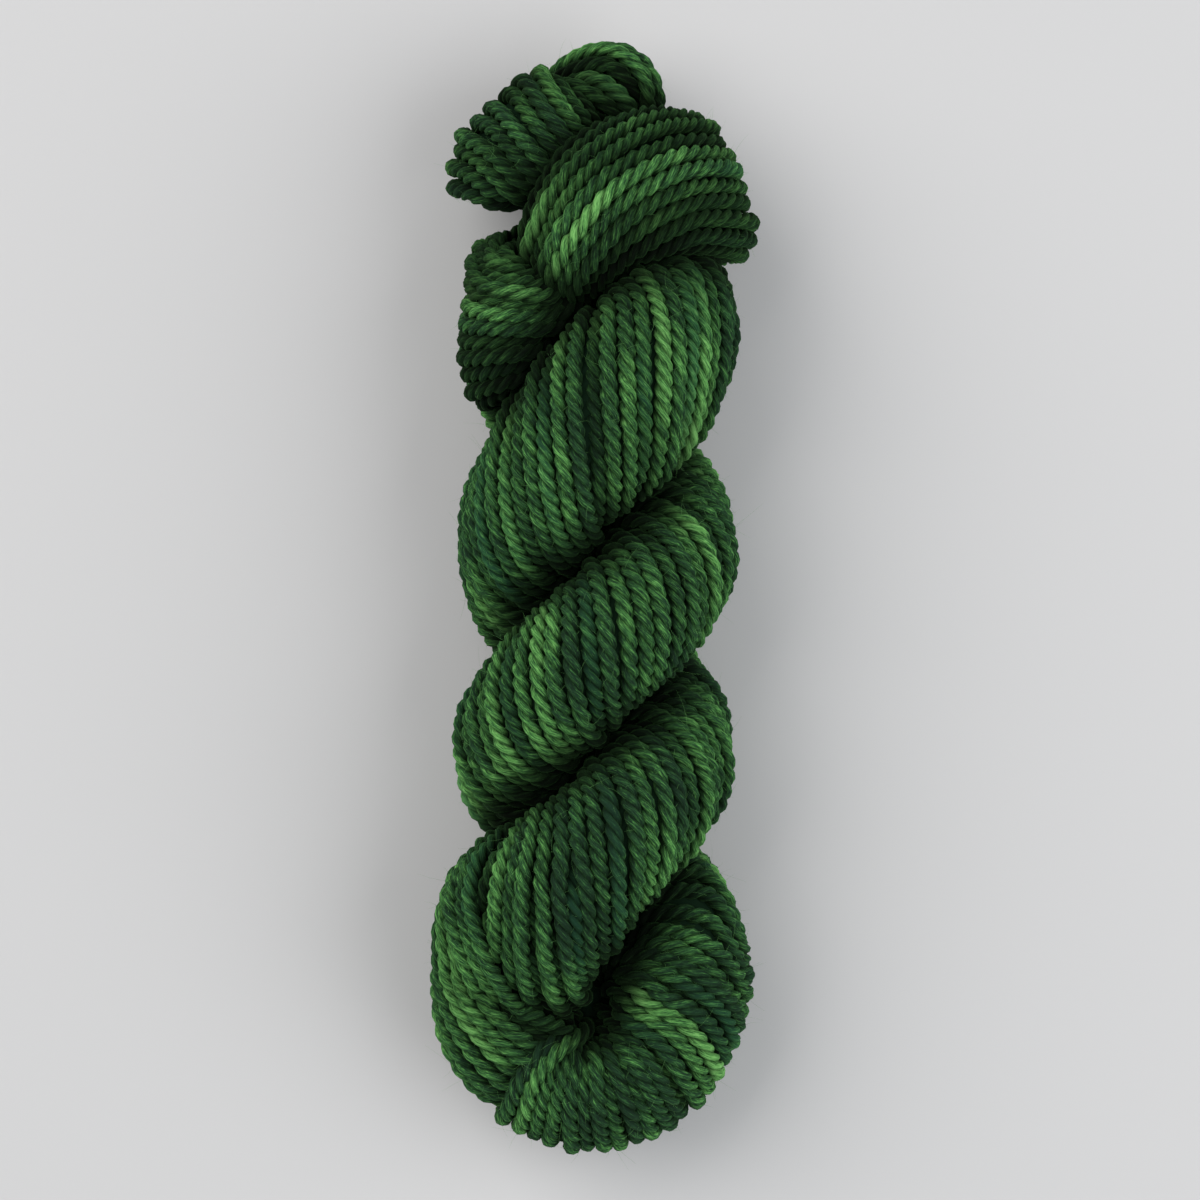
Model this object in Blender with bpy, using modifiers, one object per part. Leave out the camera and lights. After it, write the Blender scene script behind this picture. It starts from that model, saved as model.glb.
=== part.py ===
"""A skein of bulky hand-dyed yarn, lying flat, as one solid of its wound form.

A hank of yarn is twisted tight and folded in half, so its two legs wind round each other
as a two-strand rope. At one end the rope turns back on itself in a U-shaped fold. At the
other end one loop of the hank is tucked through the other, as a knob held in a ring.

The rope's axis runs along Y, the fold is at -Y, the knob is at +Y and Z is up. Every place
is first worked out round the rope's axis, in millimetres, and then pressed a little flat,
laid on the floor and turned into metres.
"""

import math

import bmesh
import bpy
import numpy as np

NAME = "skein"
MM = 0.001

# The rope: two legs of the hank, each a round bundle that winds round the axis.
LEG_RADIUS = 15.9
WINDING_RADIUS = 15.7
HALF_TURN = 44.65
LEG_P_IN_FRONT_AT = 32.3
LEG_Q_IN_FRONT_AT = LEG_P_IN_FRONT_AT - HALF_TURN
TURN_RATE = math.pi / HALF_TURN

# The fold: a U-shaped bend in the plane of the skein.
FOLD_X = -0.8
FOLD_Y = -85.5
FOLD_HALF_WIDTH = 18.3
FOLD_DEPTH = 20.6
FOLD_RADIUS = 17.5
WINDING_ENDS_AT = -57.0

# The axis leans a little to one side along its length.
AXIS_X_LOW = -0.5
AXIS_X_HIGH = 1.2
AXIS_LEAN_SPAN = 60.0

# Leg P swells where it comes out from under the ring.
SWELL = 4.5
SWELL_STARTS_AT = 8.0
SWELL_FULL_AT = 44.0
LEG_P_WINDS_TO = 54.0
LEG_Q_WINDS_TO = 44.0

# How the yarn settles on the floor.
PRESSED = 0.86
AXIS_HEIGHT = 25.3
FOLD_SAG = 6.0
KNOB_SAG = 3.0
SAG_STARTS_AT = 58.0
SAG_SPAN = 60.0

# The mesh.
SECTION_SIDES = 32
RING_STEP = 3.0
VOXEL = 1.5
SMOOTH_ROUNDS = 4
TRIANGLES = 8200

COLOUR = (0.017, 0.072, 0.019, 1.0)
ROUGHNESS = 0.9

# Each table below has a row for every section of a lobe. Its columns are the section's
# centre x, y, z, then its width, its thickness, and the lean of its width in degrees.
RING_SECTIONS = (
    (-8.5, 66.0, -4.0, 21.0, 24.0, -8.0),
    (-6.5, 77.0, 10.0, 25.0, 21.0, -20.0),
    (3.0, 86.0, 19.0, 31.0, 19.0, -42.0),
    (15.0, 90.5, 15.0, 35.0, 18.0, -60.0),
    (25.5, 90.0, 1.0, 36.0, 18.0, -75.0),
    (21.5, 87.0, -14.0, 33.0, 17.0, -68.0),
    (6.5, 79.0, -20.0, 30.0, 16.0, -52.0),
    (-10.0, 69.0, -18.0, 32.0, 16.0, -60.0),
    (-20.5, 61.0, -8.0, 38.0, 16.0, -85.0),
    (-22.8, 59.5, 4.0, 40.0, 16.0, -92.0),
    (-17.5, 59.5, 11.0, 33.0, 15.0, -86.0),
    (-10.5, 62.0, 6.0, 18.0, 16.0, -70.0),
    (-8.0, 64.5, -7.0, 17.0, 22.0, -40.0),
)
KNOB_SECTIONS = (
    (1.5, 88.0, -4.0, 18.0, 20.0, 50.0),
    (-5.0, 94.0, 6.0, 24.0, 20.0, 50.0),
    (-10.5, 98.5, 11.0, 32.0, 19.0, 54.0),
    (-17.5, 101.0, 7.0, 37.0, 18.0, 60.0),
    (-23.5, 100.5, -2.0, 33.0, 17.0, 63.0),
    (-19.0, 101.5, -11.0, 34.0, 16.0, 62.0),
    (-6.0, 100.0, -16.0, 34.0, 16.0, 58.0),
    (4.5, 95.0, -12.0, 26.0, 16.0, 50.0),
)
ARCH_SECTIONS = (
    (-10.0, 108.5, -8.0, 10.0, 10.0, 60.0),
    (-5.0, 114.5, -3.0, 10.0, 10.0, 110.0),
    (3.5, 117.8, 2.0, 11.0, 11.0, 85.0),
    (10.0, 113.7, 2.0, 11.0, 11.0, 35.0),
    (11.3, 107.0, -2.0, 11.0, 11.0, 0.0),
    (8.0, 99.0, -8.0, 10.0, 11.0, -20.0),
)

# The legs run on into the ring and the knob. The columns are the centre x, y, z, the
# radius away from the rope's axis and the radius across it.
LEG_P_NECK = (
    (12.5, 66.0, -3.0, 16.0, 17.0),
    (8.0, 76.0, -3.0, 14.0, 14.0),
    (1.5, 84.0, 0.0, 11.0, 11.0),
)
LEG_Q_NECK = (
    (-17.0, 57.5, -5.0, 12.5, 12.5),
    (-10.0, 64.0, -8.0, 8.0, 8.0),
)


def ease(t):
    """Rise from 0 to 1 with a level start and a level end."""
    t = np.clip(t, 0.0, 1.0)
    return t * t * (3.0 - 2.0 * t)


def unit(vectors):
    """Scale each row to length one."""
    return vectors / np.linalg.norm(vectors, axis=1, keepdims=True)


def smooth_curve(rows, closed, steps=12):
    """Run a Catmull-Rom curve through the rows of a table, columns and all."""
    rows = np.array(rows)
    count = len(rows)
    t = np.linspace(0.0, 1.0, steps, endpoint=False)[:, None]
    pieces = []
    for i in range(count if closed else count - 1):
        nearby = [i - 1, i, i + 1, i + 2]
        picked = [k % count if closed else min(max(k, 0), count - 1) for k in nearby]
        a, b, c, d = rows[picked]
        bend = (2 * a - 5 * b + 4 * c - d) * t**2 + (3 * b - a - 3 * c + d) * t**3
        pieces.append(0.5 * (2 * b + (c - a) * t + bend))
    if not closed:
        pieces.append(rows[-1:])
    return np.vstack(pieces)


def evenly(columns, closed):
    """Space the rows of a path RING_STEP apart along it, with every column read there."""
    if closed:
        columns = np.vstack([columns, columns[:1]])
    steps = np.linalg.norm(np.diff(columns[:, :3], axis=0), axis=1)
    along = np.concatenate([[0.0], np.cumsum(steps)])
    count = int(round(along[-1] / RING_STEP)) + 1
    places = np.linspace(0.0, along[-1], count)
    if closed:
        places = places[:-1]
    return np.column_stack([np.interp(places, along, column) for column in columns.T])


def winding_leg(front_at, top):
    """Follow one leg from the side of the fold up the rope to the height top.

    The leg circles the axis at WINDING_RADIUS, half a turn for each HALF_TURN of height.
    Below WINDING_ENDS_AT the turning eases off, and the leg reaches the fold at its side.
    """
    y = np.linspace(FOLD_Y, top, 240)
    span = WINDING_ENDS_AT - FOLD_Y
    t = np.clip((y - FOLD_Y) / span, 0.0, 1.0)
    angle_above = (WINDING_ENDS_AT - front_at) * TURN_RATE
    blend = ease(t)
    easing = (angle_above - math.pi / 2) * (1 - blend) + angle_above * blend
    easing -= TURN_RATE * span * t * t * (1 - t)
    angle = np.where(y < WINDING_ENDS_AT, easing, (y - front_at) * TURN_RATE)
    lean = np.clip((y + AXIS_LEAN_SPAN) / (2 * AXIS_LEAN_SPAN), 0.0, 1.0)
    axis_x = AXIS_X_LOW + (AXIS_X_HIGH - AXIS_X_LOW) * lean
    centre_x = FOLD_X + (axis_x - FOLD_X) * t
    reach = FOLD_HALF_WIDTH + (WINDING_RADIUS - FOLD_HALF_WIDTH) * blend
    points = np.column_stack([centre_x + reach * np.sin(angle), y, reach * np.cos(angle)])
    outward = np.column_stack([np.sin(angle), np.zeros_like(y), np.cos(angle)])
    radius = FOLD_RADIUS + (LEG_RADIUS - FOLD_RADIUS) * t
    return points, outward, np.column_stack([radius, radius])


def swell_leg(points, outward, radii):
    """Widen leg P towards the ring, and keep its other side where it was."""
    along = unit(np.gradient(points, axis=0))
    across = np.cross(along, outward)
    amount = SWELL * ease((points[:, 1] - SWELL_STARTS_AT) / (SWELL_FULL_AT - SWELL_STARTS_AT))
    wider = radii + np.column_stack([np.zeros_like(amount), amount])
    return points - unit(across) * amount[:, None], outward, wider


def add_neck(leg, neck, last_outward):
    """Carry a leg on through the sections of its neck."""
    points, outward, radii = leg
    rows = np.column_stack([points, radii])
    curve = smooth_curve(np.vstack([rows[-9:-8], rows[-1:], neck]), closed=False)[13:]
    t = np.linspace(0.0, 1.0, len(curve))[:, None]
    turned = outward[-1] * (1 - t) + np.array(last_outward) * t
    return (
        np.vstack([points, curve[:, :3]]),
        np.vstack([outward, unit(turned)]),
        np.vstack([radii, curve[:, 3:]]),
    )


def bundle_columns():
    """Join leg Q, the fold and leg P into one path, from neck to neck."""
    leg_p = swell_leg(*winding_leg(LEG_P_IN_FRONT_AT, LEG_P_WINDS_TO))
    leg_p = add_neck(leg_p, LEG_P_NECK, (0.6, 0.3, -0.7))
    leg_q = winding_leg(LEG_Q_IN_FRONT_AT, LEG_Q_WINDS_TO)
    leg_q = add_neck(leg_q, LEG_Q_NECK, (-0.5, -0.5, 0.2))
    angle = np.linspace(0.0, math.pi, 40)[1:-1]
    level = np.zeros_like(angle)
    fold_x = FOLD_X + FOLD_HALF_WIDTH * np.cos(angle)
    fold_y = FOLD_Y - FOLD_DEPTH * np.sin(angle)
    fold_points = np.column_stack([fold_x, fold_y, level])
    fold_outward = np.column_stack([np.cos(angle), -np.sin(angle), level])
    fold_radii = np.full((len(angle), 2), FOLD_RADIUS)
    fold = (fold_points, fold_outward, fold_radii)
    q_down = [part[::-1] for part in leg_q]
    return np.hstack([np.vstack(parts) for parts in zip(q_down, fold, leg_p)])


def bundle_rings():
    """Work out the rings of points round the bundle, an ellipse at each place."""
    columns = evenly(bundle_columns(), closed=False)
    centre = columns[:, 0:3]
    along = unit(np.gradient(centre, axis=0))
    outward = columns[:, 3:6]
    outward = unit(outward - along * (outward * along).sum(axis=1, keepdims=True))
    across = np.cross(along, outward)
    return ellipse_rings(centre, outward, across, columns[:, 6], columns[:, 7])


def lobe_rings(sections, closed):
    """Work out the rings of points round a flat lobe from its table of sections."""
    columns = evenly(smooth_curve(sections, closed), closed)
    centre = columns[:, 0:3]
    if closed:
        along = np.roll(centre, -1, axis=0) - np.roll(centre, 1, axis=0)
    else:
        along = np.gradient(centre, axis=0)
    along = unit(along)
    lean = np.radians(columns[:, 5])
    width_way = np.column_stack([np.cos(lean), np.sin(lean), np.zeros_like(lean)])
    width_way = unit(width_way - along * (width_way * along).sum(axis=1, keepdims=True))
    depth_way = np.cross(along, width_way)
    return ellipse_rings(centre, width_way, depth_way, columns[:, 3] / 2, columns[:, 4] / 2)


def ellipse_rings(centre, first_way, second_way, first_radius, second_radius):
    """Place SECTION_SIDES points on an ellipse round each centre."""
    angle = np.linspace(0.0, 2 * math.pi, SECTION_SIDES, endpoint=False)[None, :, None]
    first = (first_way * first_radius[:, None])[:, None, :]
    second = (second_way * second_radius[:, None])[:, None, :]
    return centre[:, None, :] + np.cos(angle) * first + np.sin(angle) * second


def lay_down(points):
    """Press the skein a little flat, let both ends sag, and raise it onto the floor."""
    y = points[..., 1]
    sag = FOLD_SAG * ease((-SAG_STARTS_AT - y) / SAG_SPAN)
    sag += KNOB_SAG * ease((y - SAG_STARTS_AT) / SAG_SPAN)
    laid = points.copy()
    laid[..., 2] = AXIS_HEIGHT + PRESSED * points[..., 2] - sag
    return laid * MM


def loft(rings, closed):
    """Skin a row of rings with quads, and cap the two ends of an open one."""
    count, sides = rings.shape[:2]
    mesh = bmesh.new()
    corners = [[mesh.verts.new(point) for point in ring] for ring in rings]
    for i in range(count if closed else count - 1):
        here = corners[i]
        there = corners[(i + 1) % count]
        for k in range(sides):
            n = (k + 1) % sides
            mesh.faces.new((here[k], here[n], there[n], there[k]))
    if not closed:
        mesh.faces.new(corners[0][::-1])
        mesh.faces.new(corners[-1])
    bmesh.ops.recalc_face_normals(mesh, faces=mesh.faces)
    return mesh


def joined_lobes():
    """Put the bundle, ring, knob and arch into one mesh of overlapping closed shells."""
    lobes = (
        (bundle_rings(), False),
        (lobe_rings(RING_SECTIONS, True), True),
        (lobe_rings(KNOB_SECTIONS, False), False),
        (lobe_rings(ARCH_SECTIONS, False), False),
    )
    whole = bpy.data.meshes.new("lobes")
    gathered = bmesh.new()
    for rings, closed in lobes:
        lobe = loft(lay_down(rings), closed)
        single = bpy.data.meshes.new("lobe")
        lobe.to_mesh(single)
        lobe.free()
        gathered.from_mesh(single)
        bpy.data.meshes.remove(single)
    gathered.to_mesh(whole)
    gathered.free()
    return whole


def modified(mesh, kind, **settings):
    """Give back a new mesh with one modifier applied to the old one."""
    holder = bpy.data.objects.new("holder", mesh)
    bpy.context.scene.collection.objects.link(holder)
    modifier = holder.modifiers.new(kind.title(), kind)
    for name, value in settings.items():
        setattr(modifier, name, value)
    bpy.context.view_layer.update()
    evaluated = holder.evaluated_get(bpy.context.evaluated_depsgraph_get())
    result = bpy.data.meshes.new_from_object(evaluated)
    bpy.data.objects.remove(holder)
    bpy.data.meshes.remove(mesh)
    return result


def keep_outer_shell(mesh):
    """Delete every shell but the largest: the others are voids trapped between lobes."""
    work = bmesh.new()
    work.from_mesh(mesh)
    unseen = set(work.verts)
    shells = []
    while unseen:
        front = [unseen.pop()]
        shell = list(front)
        while front:
            corner = front.pop()
            for edge in corner.link_edges:
                other = edge.other_vert(corner)
                if other in unseen:
                    unseen.remove(other)
                    shell.append(other)
                    front.append(other)
        shells.append(shell)
    shells.sort(key=len)
    for shell in shells[:-1]:
        bmesh.ops.delete(work, geom=shell, context="VERTS")
    work.to_mesh(mesh)
    work.free()


def centre_on_origin(mesh):
    """Move the mesh sideways until its box stands over the origin."""
    corners = np.empty(len(mesh.vertices) * 3)
    mesh.vertices.foreach_get("co", corners)
    corners = corners.reshape(-1, 3)
    corners[:, :2] -= (corners[:, :2].max(axis=0) + corners[:, :2].min(axis=0)) / 2
    mesh.vertices.foreach_set("co", corners.ravel())
    mesh.update()


def yarn_material():
    """The dyed wool: a deep green with no gloss."""
    material = bpy.data.materials.new("dyed_wool")
    material.use_nodes = True
    shader = material.node_tree.nodes["Principled BSDF"]
    shader.inputs["Base Color"].default_value = COLOUR
    shader.inputs["Roughness"].default_value = ROUGHNESS
    shader.inputs["Metallic"].default_value = 0.0
    return material


def floor_cutter(collection):
    """A slab under the floor, which cuts the flat spots that the skein rests on."""
    bpy.ops.mesh.primitive_cube_add(size=1.0, location=(0.0, 0.0, -0.01))
    cutter = bpy.context.object
    cutter.name = "floor_cutter"
    cutter.scale = (0.2, 0.4, 0.02)
    bpy.ops.object.transform_apply(location=False, rotation=False, scale=True)
    for owner in list(cutter.users_collection):
        owner.objects.unlink(cutter)
    collection.objects.link(cutter)
    cutter.hide_render = True
    cutter.display_type = "WIRE"
    return cutter


def build_skein(parts, cutters):
    """Fuse the lobes, keep the outside, thin the mesh and cut it level underneath."""
    mesh = modified(joined_lobes(), "REMESH", mode="VOXEL", voxel_size=VOXEL * MM)
    keep_outer_shell(mesh)
    mesh = modified(mesh, "SMOOTH", factor=0.5, iterations=SMOOTH_ROUNDS)
    triangle_count = 2 * len(mesh.polygons)
    mesh = modified(mesh, "DECIMATE", ratio=TRIANGLES / triangle_count)
    centre_on_origin(mesh)
    mesh.name = NAME
    skein = bpy.data.objects.new(NAME, mesh)
    parts.objects.link(skein)
    mesh.materials.append(yarn_material())
    mesh.shade_smooth()
    cut = skein.modifiers.new("Flat spots", "BOOLEAN")
    cut.operation = "DIFFERENCE"
    cut.solver = "EXACT"
    cut.object = floor_cutter(cutters)


for old in list(bpy.data.objects):
    bpy.data.objects.remove(old, do_unlink=True)
parts_collection = bpy.data.collections.new(NAME)
cutter_collection = bpy.data.collections.new("cutters")
bpy.context.scene.collection.children.link(parts_collection)
bpy.context.scene.collection.children.link(cutter_collection)
build_skein(parts_collection, cutter_collection)
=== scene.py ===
"""A skein of bulky hand-dyed wool, with every turn of its yarn laid, settled and spun.

The skein's solid gives its place. Over it go the turns of yarn: each one is a line that
follows the solid's form, the lines push each other aside until they lie side by side, and
each is then spun into a yarn of three plies.
"""

import math

import bpy
import numpy as np
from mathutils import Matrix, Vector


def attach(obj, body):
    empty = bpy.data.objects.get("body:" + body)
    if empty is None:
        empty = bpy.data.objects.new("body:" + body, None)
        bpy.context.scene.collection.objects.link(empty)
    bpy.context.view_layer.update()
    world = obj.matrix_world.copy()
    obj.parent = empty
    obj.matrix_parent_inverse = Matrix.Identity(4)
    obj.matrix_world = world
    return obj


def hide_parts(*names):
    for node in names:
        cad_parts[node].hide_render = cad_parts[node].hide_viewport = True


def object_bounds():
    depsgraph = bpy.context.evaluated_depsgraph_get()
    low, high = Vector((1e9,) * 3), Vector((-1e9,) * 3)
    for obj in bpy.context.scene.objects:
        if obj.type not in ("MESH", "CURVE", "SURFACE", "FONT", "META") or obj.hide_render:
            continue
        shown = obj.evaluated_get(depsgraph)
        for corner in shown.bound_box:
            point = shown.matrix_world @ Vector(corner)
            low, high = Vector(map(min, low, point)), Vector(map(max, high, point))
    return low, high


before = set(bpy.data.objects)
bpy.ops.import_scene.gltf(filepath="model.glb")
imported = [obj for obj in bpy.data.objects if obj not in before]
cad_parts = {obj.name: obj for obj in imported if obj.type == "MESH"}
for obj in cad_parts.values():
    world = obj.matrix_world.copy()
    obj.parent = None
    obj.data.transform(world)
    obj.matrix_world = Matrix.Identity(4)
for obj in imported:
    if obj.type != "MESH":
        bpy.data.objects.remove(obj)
cad_low, cad_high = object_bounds()

# ---------------------------------------------------------------------------------------
# The studio: a plain pale floor, a camera straight above the skein, one large soft light
# like a window from the upper left, and a weaker one from the right.
# ---------------------------------------------------------------------------------------
MM = 0.001
FLOOR_SIZE = 4.0
FLOOR_COLOUR = (0.53, 0.525, 0.52, 1.0)
SENSOR_WIDTH = 36.0
CAMERA_HEIGHT = 0.925
FRAME_WIDTH = 0.264
FRAME_PLANE = 0.025
CAMERA_OFFSET = (0.0013, -0.0003)


def plain_material(name, colour, roughness):
    """A single matte finish, with no shine."""
    material = bpy.data.materials.new(name)
    material.use_nodes = True
    shader = material.node_tree.nodes["Principled BSDF"]
    shader.inputs["Base Color"].default_value = colour
    shader.inputs["Roughness"].default_value = roughness
    shader.inputs["Specular IOR Level"].default_value = 0.0
    return material


def area_light(name, place, size, power, colour):
    """A square lamp at a place, aimed at the middle of the skein."""
    lamp = bpy.data.lights.new(name, "AREA")
    lamp.size = size
    lamp.energy = power
    lamp.color = colour
    holder = bpy.data.objects.new(name, lamp)
    bpy.context.scene.collection.objects.link(holder)
    holder.location = place
    aim = -holder.location
    holder.rotation_euler = aim.to_track_quat("-Z", "Y").to_euler()
    return holder


bpy.ops.mesh.primitive_plane_add(size=FLOOR_SIZE)
floor = bpy.context.object
floor.name = "floor"
floor.data.materials.append(plain_material("pale_floor", FLOOR_COLOUR, 0.95))

camera_data = bpy.data.cameras.new("camera")
camera_data.sensor_width = SENSOR_WIDTH
camera_data.lens = SENSOR_WIDTH * (CAMERA_HEIGHT - FRAME_PLANE) / FRAME_WIDTH
camera = bpy.data.objects.new("camera", camera_data)
camera.location = (*CAMERA_OFFSET, CAMERA_HEIGHT)
bpy.context.scene.collection.objects.link(camera)
bpy.context.scene.camera = camera

area_light("window", (-0.95, 0.55, 1.0), 1.6, 23.0, (1.0, 0.98, 0.97))
area_light("fill", (0.95, -0.25, 0.8), 1.4, 15.0, (0.97, 0.98, 1.0))

world = bpy.data.worlds.new("studio")
world.use_nodes = True
world.node_tree.nodes["Background"].inputs["Color"].default_value = (0.9, 0.95, 1.0, 1.0)
world.node_tree.nodes["Background"].inputs["Strength"].default_value = 0.42
bpy.context.scene.world = world
bpy.context.scene.view_settings.view_transform = "Standard"

# ---------------------------------------------------------------------------------------
# The bundle: the two legs of a hank of plied wool, twisted round each other like a rope,
# and the fold that joins them. Its outer turns of yarn lie side by side, and run round it
# with a left-handed lay. All sizes from here on are in millimetres.
# ---------------------------------------------------------------------------------------
YARN = 3.85
STEP = 2.5
LEG_RADIUS = 15.9
WINDING_RADIUS = 15.7
HALF_TURN = 44.65
TURN_RATE = math.pi / HALF_TURN
LEG_P_IN_FRONT_AT = 32.3
LEG_Q_IN_FRONT_AT = LEG_P_IN_FRONT_AT - HALF_TURN
FOLD_X = -0.8
FOLD_Y = -85.5
FOLD_HALF_WIDTH = 18.3
FOLD_DEPTH = 20.6
FOLD_RADIUS = 17.5
WINDING_ENDS_AT = -57.0
AXIS_X_LOW = -0.5
AXIS_X_HIGH = 1.2
AXIS_LEAN_SPAN = 60.0
SWELL = 4.5
SWELL_STARTS_AT = 8.0
SWELL_FULL_AT = 44.0
LEG_P_WINDS_TO = 54.0
LEG_Q_WINDS_TO = 44.0
HOLE = (-0.5, -84.5)
HOLE_DROP = 8.5
HOLE_REACH = 17.0

# Columns: the centre x, y, z, the radius away from the rope's axis, the radius across it.
LEG_P_NECK = (
    (12.5, 66.0, -3.0, 16.0, 17.0),
    (8.0, 76.0, -3.0, 14.0, 14.0),
    (1.5, 84.0, 0.0, 11.0, 11.0),
)
LEG_Q_NECK = (
    (-17.0, 57.5, -5.0, 12.5, 12.5),
    (-10.0, 64.0, -8.0, 8.0, 8.0),
)

# Places along the bundle are measured from the fold's lowest point, and grow towards leg P.
LEG_Q_TURNS_END = -50.0
LEG_P_TURNS_START = 12.0
LEG_P_WIDENS_AT = 152.0
BETWEEN_TURNS_END = 74.0
OVERLAP = 5.0
LEG_TURNS = 12
WIDE_LEG_TURNS = 19
LAY_STEP = 0.8

# How deep the end of a turn goes under the others, and how deep a turn may lie by chance.
SINK = 5.5
DEEPER = -1.1

# Columns: the place along the bundle, and the lay there in radians for each millimetre.
LEG_LAY = (
    (-60.0, 0.182),
    (-50.0, 0.182),
    (12.0, -0.06),
    (18.0, -0.04),
    (24.0, -0.015),
    (30.0, 0.005),
    (36.0, 0.03),
    (42.0, 0.06),
    (48.0, 0.085),
    (54.0, 0.12),
    (60.0, 0.150),
    (66.0, 0.172),
    (75.0, 0.182),
    (140.0, 0.182),
    (165.0, 0.115),
)

# The groove that parts leg P's turns from the cheek, which lies below it on the left.
CHEEK_LOWER_ANGLE = -115.0
CHEEK_START = 13.0
CHEEK_EDGE = 22.0

# Columns: the place along the bundle, and the angle of the groove there in degrees.
GROOVE = (
    (10.0, 170.0),
    (21.5, 152.0),
    (28.5, 131.0),
    (40.0, 106.0),
    (46.5, 72.0),
    (49.5, 20.0),
    (54.0, -38.0),
    (61.0, -115.0),
    (70.0, -220.0),
)


def ease(t):
    """Rise from 0 to 1 with a level start and a level end."""
    t = np.clip(t, 0.0, 1.0)
    return t * t * (3.0 - 2.0 * t)


def unit(vectors):
    """Scale each vector to length one."""
    return vectors / np.maximum(np.linalg.norm(vectors, axis=-1, keepdims=True), 1e-9)


def lengths_along(points):
    """The distance along a path at each of its points."""
    steps = np.linalg.norm(np.diff(points, axis=0), axis=1)
    return np.concatenate([[0.0], np.cumsum(steps)])


def smooth_curve(rows, closed, steps=12):
    """Run a Catmull-Rom curve through the rows of a table, columns and all."""
    rows = np.array(rows)
    count = len(rows)
    t = np.linspace(0.0, 1.0, steps, endpoint=False)[:, None]
    pieces = []
    for i in range(count if closed else count - 1):
        nearby = [i - 1, i, i + 1, i + 2]
        picked = [k % count if closed else min(max(k, 0), count - 1) for k in nearby]
        a, b, c, d = rows[picked]
        bend = (2 * a - 5 * b + 4 * c - d) * t**2 + (3 * b - a - 3 * c + d) * t**3
        pieces.append(0.5 * (2 * b + (c - a) * t + bend))
    if not closed:
        pieces.append(rows[-1:])
    return np.vstack(pieces)


def evenly(columns, step, closed=False):
    """Space the rows of a path evenly along it, with every column read there."""
    if closed:
        columns = np.vstack([columns, columns[:1]])
    along = lengths_along(columns[:, :3])
    places = np.linspace(0.0, along[-1], int(round(along[-1] / step)) + 1)
    if closed:
        places = places[:-1]
    return np.column_stack([np.interp(places, along, column) for column in columns.T])


def winding_leg(front_at, top):
    """Follow one leg from the side of the fold up the rope to the height top.

    The leg circles the axis at WINDING_RADIUS, half a turn for each HALF_TURN of height.
    Below WINDING_ENDS_AT the turning eases off, and the leg reaches the fold at its side.
    """
    y = np.linspace(FOLD_Y, top, 240)
    span = WINDING_ENDS_AT - FOLD_Y
    t = np.clip((y - FOLD_Y) / span, 0.0, 1.0)
    angle_above = (WINDING_ENDS_AT - front_at) * TURN_RATE
    blend = ease(t)
    easing = (angle_above - math.pi / 2) * (1 - blend) + angle_above * blend
    easing -= TURN_RATE * span * t * t * (1 - t)
    angle = np.where(y < WINDING_ENDS_AT, easing, (y - front_at) * TURN_RATE)
    lean = np.clip((y + AXIS_LEAN_SPAN) / (2 * AXIS_LEAN_SPAN), 0.0, 1.0)
    axis_x = AXIS_X_LOW + (AXIS_X_HIGH - AXIS_X_LOW) * lean
    centre_x = FOLD_X + (axis_x - FOLD_X) * t
    reach = FOLD_HALF_WIDTH + (WINDING_RADIUS - FOLD_HALF_WIDTH) * blend
    points = np.column_stack([centre_x + reach * np.sin(angle), y, reach * np.cos(angle)])
    outward = np.column_stack([np.sin(angle), np.zeros_like(y), np.cos(angle)])
    radius = FOLD_RADIUS + (LEG_RADIUS - FOLD_RADIUS) * t
    return points, outward, np.column_stack([radius, radius])


def swell_leg(points, outward, radii):
    """Widen leg P towards the ring, and keep its other side where it was."""
    along = unit(np.gradient(points, axis=0))
    across = np.cross(along, outward)
    amount = SWELL * ease((points[:, 1] - SWELL_STARTS_AT) / (SWELL_FULL_AT - SWELL_STARTS_AT))
    wider = radii + np.column_stack([np.zeros_like(amount), amount])
    return points - unit(across) * amount[:, None], outward, wider


def add_neck(leg, neck, last_outward):
    """Carry a leg on through the sections of its neck."""
    points, outward, radii = leg
    rows = np.column_stack([points, radii])
    curve = smooth_curve(np.vstack([rows[-9:-8], rows[-1:], neck]), closed=False)[13:]
    t = np.linspace(0.0, 1.0, len(curve))[:, None]
    turned = outward[-1] * (1 - t) + np.array(last_outward) * t
    return (
        np.vstack([points, curve[:, :3]]),
        np.vstack([outward, unit(turned)]),
        np.vstack([radii, curve[:, 3:]]),
    )


def bundle_columns():
    """Join leg Q, the fold and leg P into one path, from neck to neck."""
    leg_p = swell_leg(*winding_leg(LEG_P_IN_FRONT_AT, LEG_P_WINDS_TO))
    leg_p = add_neck(leg_p, LEG_P_NECK, (0.6, 0.3, -0.7))
    leg_q = winding_leg(LEG_Q_IN_FRONT_AT, LEG_Q_WINDS_TO)
    leg_q = add_neck(leg_q, LEG_Q_NECK, (-0.5, -0.5, 0.2))
    angle = np.linspace(0.0, math.pi, 40)[1:-1]
    level = np.zeros_like(angle)
    fold_x = FOLD_X + FOLD_HALF_WIDTH * np.cos(angle)
    fold_y = FOLD_Y - FOLD_DEPTH * np.sin(angle)
    fold_points = np.column_stack([fold_x, fold_y, level])
    fold_outward = np.column_stack([np.cos(angle), -np.sin(angle), level])
    fold_radii = np.full((len(angle), 2), FOLD_RADIUS)
    fold = (fold_points, fold_outward, fold_radii)
    q_down = [part[::-1] for part in leg_q]
    return np.hstack([np.vstack(parts) for parts in zip(q_down, fold, leg_p)])


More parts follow.
